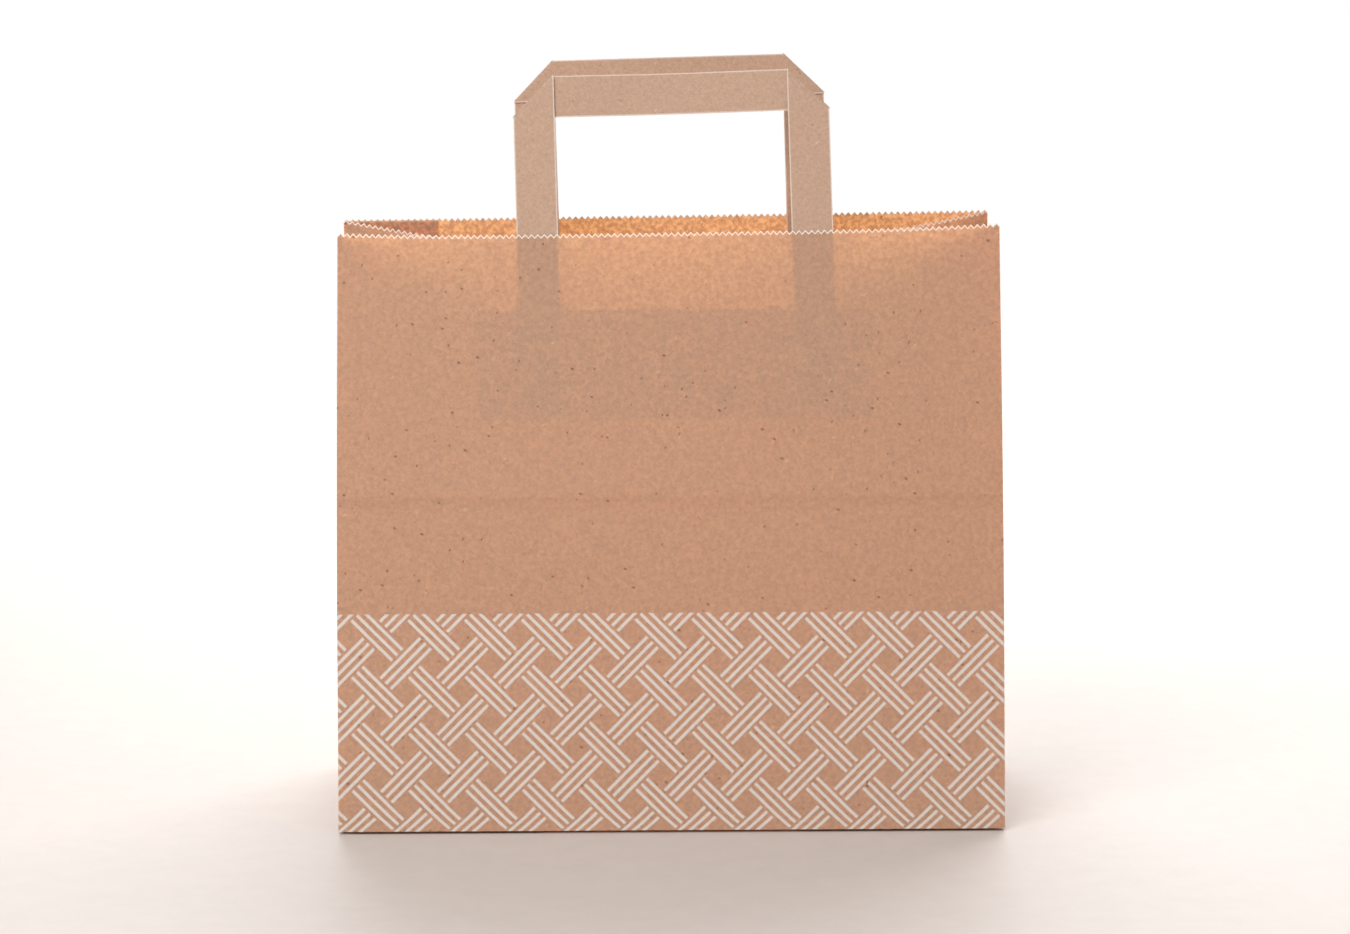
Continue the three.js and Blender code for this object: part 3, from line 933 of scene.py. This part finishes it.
# Painted highlight: a pale line along both edges of a strip, where its folds catch the light.
EDGE_HIGHLIGHT_LINE = (0.2 * MM, 0.8 * MM)
EDGE_HIGHLIGHT_MARK = 0.5
CLOUD_LIMITS = (0.38, 0.62)
BUMP_STRENGTH, BUMP_DEPTH = 0.4, 0.12 * MM
SPECULAR = 0.25
ROUGHNESS = (0.88, 0.72)
GRAIN_DEPTH = 0.55
CLOUD_SCALE = 440.0
THICKER = 1.5
STRIP_KRAFT = (0.62, 0.413, 0.300)
STRIP_THROUGH = (0.8, 0.5, 0.32)


def rgba(colour, factor=1.0):
    return (*(min(c * factor, 1.0) for c in colour), 1.0)


def mixed_colour(tree, factor, first, second):
    node = node_at(tree, "ShaderNodeMix", data_type="RGBA", clamp_factor=True)
    for socket, value in zip((node.inputs[0], node.inputs[6], node.inputs[7]), (factor, first, second)):
        if isinstance(value, (int, float, tuple)):
            socket.default_value = value
        else:
            tree.links.new(value, socket)
    return node.outputs[2]


def attribute_value(tree, name):
    node = node_at(tree, "ShaderNodeAttribute", attribute_type="GEOMETRY", attribute_name=name)
    return node.outputs["Fac"]


def across_and_up(tree, place):
    """The two flat coordinates of the sheet, in metres."""
    parted = tree.nodes.new("ShaderNodeSeparateXYZ")
    tree.links.new(place.outputs["UV"], parted.inputs[0])
    return parted.outputs[0], parted.outputs[1]


def felt_tone(tree, fibre, colour, specks):
    """The paper's own colour with its clouds, its grain and its odd fibres."""
    tone = mixed_colour(tree, fibre.outputs["Cloud"], *[rgba(colour, t) for t in CLOUD_TONES])
    grain = ranged(tree, fibre.outputs["Grain"], 0.0, 1.0, GRAIN_DEPTH, 0.0)
    tone = mixed_colour(tree, grain, tone, rgba(colour, GRAIN_TONE))
    dark = joined_math(tree, "MULTIPLY", fibre.outputs["Dark Fibres"], specks)
    tone = mixed_colour(tree, dark, tone, rgba(DARK_FIBRE))
    pale = joined_math(tree, "MULTIPLY", fibre.outputs["Pale Fibres"], specks)
    return mixed_colour(tree, pale, tone, rgba(PALE_FIBRE))


def printed_tone(tree, place, fibre, tone):
    """Painted shade along the old flat fold, the weave's ink over it; also the ink's mask."""
    across, up = across_and_up(tree, place)
    # Painted shade: a faint darker line along the old flat fold.
    above = joined_math(tree, "SUBTRACT", up, BASE_DEPTH * MM)
    distance = joined_math(tree, "ABSOLUTE", above, 0.0)
    fold = ranged(tree, distance, *FOLD_SHADE_LINE, FOLD_SHADE_MARK, 0.0)
    tone = mixed_colour(tree, fold, tone, rgba(KRAFT, FOLD_SHADE_TONE))
    ink = weave_ink(tree, across, up)
    wear_and_highlight = ranged(tree, fibre.outputs["Grain"], 0.0, 0.35, *WORN_INK)
    return mixed_colour(tree, joined_math(tree, "MULTIPLY", ink, wear_and_highlight), tone, rgba(INK)), ink


def strip_tone(tree, place, tone, colour, width):
    """The pressed lines of a folded strip and a painted highlight along its edges; also the lines' height.
    """
    across = across_and_up(tree, place)[0]
    line = joined_math(tree, "SINE", joined_math(tree, "MULTIPLY", across, PRESSED_LINES), 0.0)
    tone = mixed_colour(tree, ranged(tree, line, -1.0, 1.0, LINE_MARK, 0.0), tone, rgba(colour, LINE_TONE))
    # Painted highlight along both edges of the strip, where its folds catch the light.
    from_edge = joined_math(tree, "MINIMUM", across, joined_math(tree, "SUBTRACT", width, across))
    wear_and_highlight = ranged(tree, from_edge, *EDGE_HIGHLIGHT_LINE, EDGE_HIGHLIGHT_MARK, 0.0)
    return mixed_colour(tree, wear_and_highlight, tone, rgba(PALE_FELT_AND_HIGHLIGHT)), joined_math(tree, "MULTIPLY", line, LINE_HEIGHT)


def paper_material(
    name, colour, through, share, printed=False, frayed_and_glowing=0.0, strip=0.0, specks=0.8, thin=0.9
):
    """A paper: share is the part of the light that passes, thin how much of it a thick cloud lets
    through; the edge amount says how pale its cut edge is painted, as felt and painted glow; strip is the
    width of a folded strip."""
    material = bpy.data.materials.new(name)
    material.use_nodes = True
    tree = material.node_tree
    tree.nodes.clear()
    place = tree.nodes.new("ShaderNodeTexCoord")
    fibre = node_at(tree, "ShaderNodeGroup", node_tree=kraft_fibre)
    tree.links.new(place.outputs["Object"], fibre.inputs["Place"])

    tone = felt_tone(tree, fibre, colour, specks)
    clouds = noise_value(tree, place.outputs["Object"], CLOUD_SCALE, 3.0, 0.62)
    thick = tuple(c ** THICKER for c in through)
    glow = mixed_colour(tree, ranged(tree, clouds, *CLOUD_LIMITS), rgba(thick, thin), rgba(through))
    height = fibre.outputs["Height"]
    pale = None
    # Painted glow: the cut edge is painted pale, partly pale felt and partly light from behind shining
    # through it.
    if frayed_and_glowing:
        pale = joined_math(tree, "MULTIPLY", attribute_value(tree, "frayed_and_glowing"), frayed_and_glowing)
        tone = mixed_colour(tree, pale, tone, rgba(PALE_FELT_AND_HIGHLIGHT))
    if printed:
        tone, ink = printed_tone(tree, place, fibre, tone)
        pale = joined_math(tree, "MAXIMUM", pale, ink)
    if strip:
        tone, lines = strip_tone(tree, place, tone, colour, strip)
        height = joined_math(tree, "ADD", height, lines)

    bump = tree.nodes.new("ShaderNodeBump")
    bump.inputs["Strength"].default_value = BUMP_STRENGTH
    bump.inputs["Distance"].default_value = BUMP_DEPTH
    tree.links.new(height, bump.inputs["Height"])

    surface = tree.nodes.new("ShaderNodeBsdfPrincipled")
    surface.inputs["Specular IOR Level"].default_value = SPECULAR
    tree.links.new(tone, surface.inputs["Base Color"])
    rough = ranged(tree, fibre.outputs["Grain"], 0.0, 1.0, *ROUGHNESS)
    tree.links.new(rough, surface.inputs["Roughness"])
    tree.links.new(bump.outputs[0], surface.inputs["Normal"])

    passing = tree.nodes.new("ShaderNodeBsdfTranslucent")
    tree.links.new(glow, passing.inputs["Color"])
    blend = tree.nodes.new("ShaderNodeMixShader")
    # Where the edge glow is painted and where there is ink, less light passes, so their pale colour shows.
    if pale:
        tree.links.new(ranged(tree, pale, 0.0, 1.0, share, PALE_PASSES), blend.inputs[0])
    else:
        blend.inputs[0].default_value = share
    tree.links.new(surface.outputs[0], blend.inputs[1])
    tree.links.new(passing.outputs[0], blend.inputs[2])
    output = tree.nodes.new("ShaderNodeOutputMaterial")
    tree.links.new(blend.outputs[0], output.inputs["Surface"])
    return material


kraft_outside = paper_material(
    "kraft_outside", KRAFT, KRAFT_THROUGH, BODY_SHARE, printed=True, frayed_and_glowing=1.0
)
kraft_inside = paper_material(
    "kraft_inside", KRAFT, KRAFT_THROUGH, BODY_SHARE, frayed_and_glowing=0.35, thin=0.55
)
# The cut rim is painted near white, partly pale felt and partly a painted glow of the light behind it.
kraft_cut = paper_material("kraft_cut_edge", PALE_FELT_AND_HIGHLIGHT, PALE_FELT_AND_HIGHLIGHT, RIM_SHARE)
kraft_handle = paper_material(
    "kraft_handle", STRIP_KRAFT, STRIP_THROUGH, STRIP_SHARE, strip=STRIP_WIDTH * MM, specks=0.3
)
kraft_patch = paper_material("kraft_patch", KRAFT, KRAFT_THROUGH, PATCH_SHARE, thin=0.7)
print("papers:", [m.name for m in (kraft_outside, kraft_inside, kraft_cut, kraft_handle, kraft_patch)])

# %% [markdown]
# So far every sheet is a single skin. The knife cuts the bag's teeth, the tube is closed, and Solidify
# gives each sheet its own thickness: inwards for the bag and the patches, to both sides for the strips.
# The result is turned into a plain mesh with sharp folds and smooth paper between them.

# %% Give the sheets their thickness
FOLD_ANGLE = 28.0


def plain_mesh(obj):
    """Replaces an object's mesh by its evaluated one and removes its modifiers."""
    bpy.context.view_layer.update()
    evaluated = obj.evaluated_get(bpy.context.evaluated_depsgraph_get())
    made = bpy.data.meshes.new_from_object(evaluated)
    obj.modifiers.clear()
    obj.data = made
    made.polygons.foreach_set("use_smooth", [True] * len(made.polygons))
    made.set_sharp_from_angle(angle=math.radians(FOLD_ANGLE))
    made.update()
    return obj


def solidify(obj, thickness, offset):
    wall = obj.modifiers.new("paper_thickness", "SOLIDIFY")
    wall.thickness = thickness * MM
    wall.offset = offset
    wall.use_even_offset = False
    return wall


def cut_teeth(obj, paper):
    cut = obj.modifiers.new("pinking_knife", "NODES")
    cut.node_group = knife
    names = {s.name: s.identifier for s in knife.interface.items_tree if s.in_out == "INPUT"}
    cut[names["Tooth Pitch"]] = TOOTH_PITCH * MM
    cut[names["Tooth Depth"]] = TOOTH_DEPTH * MM
    cut[names["Paper"]] = paper


def close_tube(obj, ends):
    """Merges the tube's last column into its first one, and no other points that touch."""
    group = obj.vertex_groups.new(name="row_ends")
    group.add(ends, 1.0, "REPLACE")
    weld = obj.modifiers.new("close_tube", "WELD")
    weld.vertex_group = group.name
    weld.merge_threshold = 0.01 * MM


bag = add_object("paper_bag", bag_sheet.mesh("paper_bag"))
for paper in (kraft_outside, kraft_inside, kraft_cut):
    bag.data.materials.append(paper)
cut_teeth(bag, kraft_outside)
close_tube(bag, bag_sheet.ends)
wall = solidify(bag, PAPER, -1.0)
wall.material_offset = 1
wall.material_offset_rim = 2
plain_mesh(bag)
print("bag triangles:", sum(len(p.vertices) - 2 for p in bag.data.polygons))

# %% [markdown]
# The handles and the patches are single sheets, so they only need their thickness. A strip of several
# folded layers is thicker than the bag's paper; a patch is one more layer of it.

# %% Handles and patches
PATCH_PAPER = 0.16


def paper_piece(name, sheet, material, thickness, offset):
    piece = add_object(name, sheet.mesh(name))
    piece.data.materials.append(material)
    solidify(piece, thickness, offset)
    return plain_mesh(piece)


pieces = {"bag_body": bag}
for node, sheet in handle_sheets.items():
    pieces[node] = paper_piece("paper_" + node, sheet, kraft_handle, STRIP_THICK, 0.0)
for node, sheet in patch_sheets.items():
    pieces[node] = paper_piece("paper_" + node, sheet, kraft_patch, PATCH_PAPER, -1.0)
print("pieces:", sorted(pieces))

# %% [markdown]
# Each piece stands for one node of the imported model, which it hides, and moves with its only body.

for node, piece in pieces.items():
    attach(piece, "root")
    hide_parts(node)
print("replaced:", sorted(pieces))

# %% [markdown]
# The bag stands on a pale table before a bright window. The table is a wide disc that fades to plain
# white away from the bag. Only the camera, mirrors and glass see that white, so it puts no light on the
# bag, and near the bag the table keeps its shadow.

# %% Floor
FLOOR_RADIUS = 6.0
FLOOR_TONE = (0.64, 0.58, 0.54)
FADE_START = 0.50
FADE_END = 1.60
FLOOR_SIDES = 96
FLOOR_DROP = 0.2 * MM
FLOOR_GRAIN = {"scale": 60.0, "detail": 6.0, "roughness": 0.7}


def floor_mesh():
    mesh = bpy.data.meshes.new("table")
    ring = np.linspace(0.0, 2.0 * math.pi, FLOOR_SIDES + 1)[:-1]
    points = [(FLOOR_RADIUS * math.cos(a), FLOOR_RADIUS * math.sin(a), -FLOOR_DROP) for a in ring]
    mesh.from_pydata(points, [], [tuple(range(len(points)))])
    return mesh


def seen_directly(tree):
    """1 for the camera, mirrors and glass. Light spread by paper is left out, so it stays plain."""
    ray = tree.nodes.new("ShaderNodeLightPath")
    seen = joined_math(tree, "MAXIMUM", ray.outputs["Is Camera Ray"], ray.outputs["Is Glossy Ray"])
    seen = joined_math(tree, "MAXIMUM", seen, ray.outputs["Is Transmission Ray"])
    return joined_math(tree, "GREATER_THAN", seen, ray.outputs["Is Diffuse Ray"])


def floor_material():
    material = bpy.data.materials.new("pale_table")
    material.use_nodes = True
    tree = material.node_tree
    surface = tree.nodes["Principled BSDF"]
    output = tree.nodes["Material Output"]
    place = tree.nodes.new("ShaderNodeTexCoord")
    stone = ranged(tree, noise_value(tree, place.outputs["Object"], **FLOOR_GRAIN), 0.3, 0.7)
    tone = mixed_colour(tree, stone, rgba(FLOOR_TONE, 0.965), rgba(FLOOR_TONE, 1.02))
    tree.links.new(tone, surface.inputs["Base Color"])
    surface.inputs["Roughness"].default_value = 0.65
    parted = tree.nodes.new("ShaderNodeSeparateXYZ")
    tree.links.new(place.outputs["Object"], parted.inputs[0])
    flat = tree.nodes.new("ShaderNodeCombineXYZ")
    tree.links.new(parted.outputs[0], flat.inputs[0])
    tree.links.new(parted.outputs[1], flat.inputs[1])
    reach = node_at(tree, "ShaderNodeVectorMath", operation="LENGTH")
    tree.links.new(flat.outputs[0], reach.inputs[0])
    fade = ranged(tree, reach.outputs["Value"], FADE_START, FADE_END)
    seen = seen_directly(tree)
    white = tree.nodes.new("ShaderNodeEmission")
    blend = tree.nodes.new("ShaderNodeMixShader")
    tree.links.new(joined_math(tree, "MULTIPLY", fade, seen), blend.inputs[0])
    tree.links.new(surface.outputs[0], blend.inputs[1])
    tree.links.new(white.outputs[0], blend.inputs[2])
    tree.links.new(blend.outputs[0], output.inputs["Surface"])
    return material


table = add_object("table", floor_mesh())
table.data.materials.append(floor_material())
print("table radius:", FLOOR_RADIUS)

# %% [markdown]
# The light is soft: a pale world all round, one broad lamp in front and a broad window behind, which
# makes the paper glow at the mouth. All levels stay plain, so a colour renders about as it is written.

# %% World and lamps
WORLD_LEVEL = 0.5
ROOM_TONE = (1.0, 0.985, 0.97)
WHITE = (1.0, 1.0, 1.0)
LAMPS = {
    "front_lamp": {"place": (-0.75, -1.3, 1.2), "size": 1.2, "watts": 22.0},
    "window_lamp": {"place": (0.25, 1.5, 0.95), "size": 2.0, "watts": 46.0},
}
AIM = (0.0, 0.0, 0.18)


def pale_world():
    world = bpy.data.worlds.new("pale_room")
    scene.world = world
    world.use_nodes = True
    tree = world.node_tree
    room = tree.nodes["Background"]
    room.inputs["Strength"].default_value = WORLD_LEVEL
    room.inputs["Color"].default_value = rgba(ROOM_TONE)
    white = tree.nodes.new("ShaderNodeBackground")
    white.inputs["Color"].default_value = rgba(WHITE)
    blend = tree.nodes.new("ShaderNodeMixShader")
    tree.links.new(seen_directly(tree), blend.inputs[0])
    tree.links.new(room.outputs[0], blend.inputs[1])
    tree.links.new(white.outputs[0], blend.inputs[2])
    tree.links.new(blend.outputs[0], tree.nodes["World Output"].inputs["Surface"])


def soft_lamp(name, place, size, watts):
    data = bpy.data.lights.new(name, "AREA")
    data.shape = "SQUARE"
    data.size = size
    data.energy = watts
    lamp = add_object(name, data)
    towards = Matrix.Translation(AIM).translation - Matrix.Translation(place).translation
    lamp.matrix_world = Matrix.Translation(place) @ towards.to_track_quat("-Z", "Y").to_matrix().to_4x4()
    lamp.visible_camera = False


pale_world()
for name, settings in LAMPS.items():
    soft_lamp(name, **settings)
print("lamps:", sorted(LAMPS))
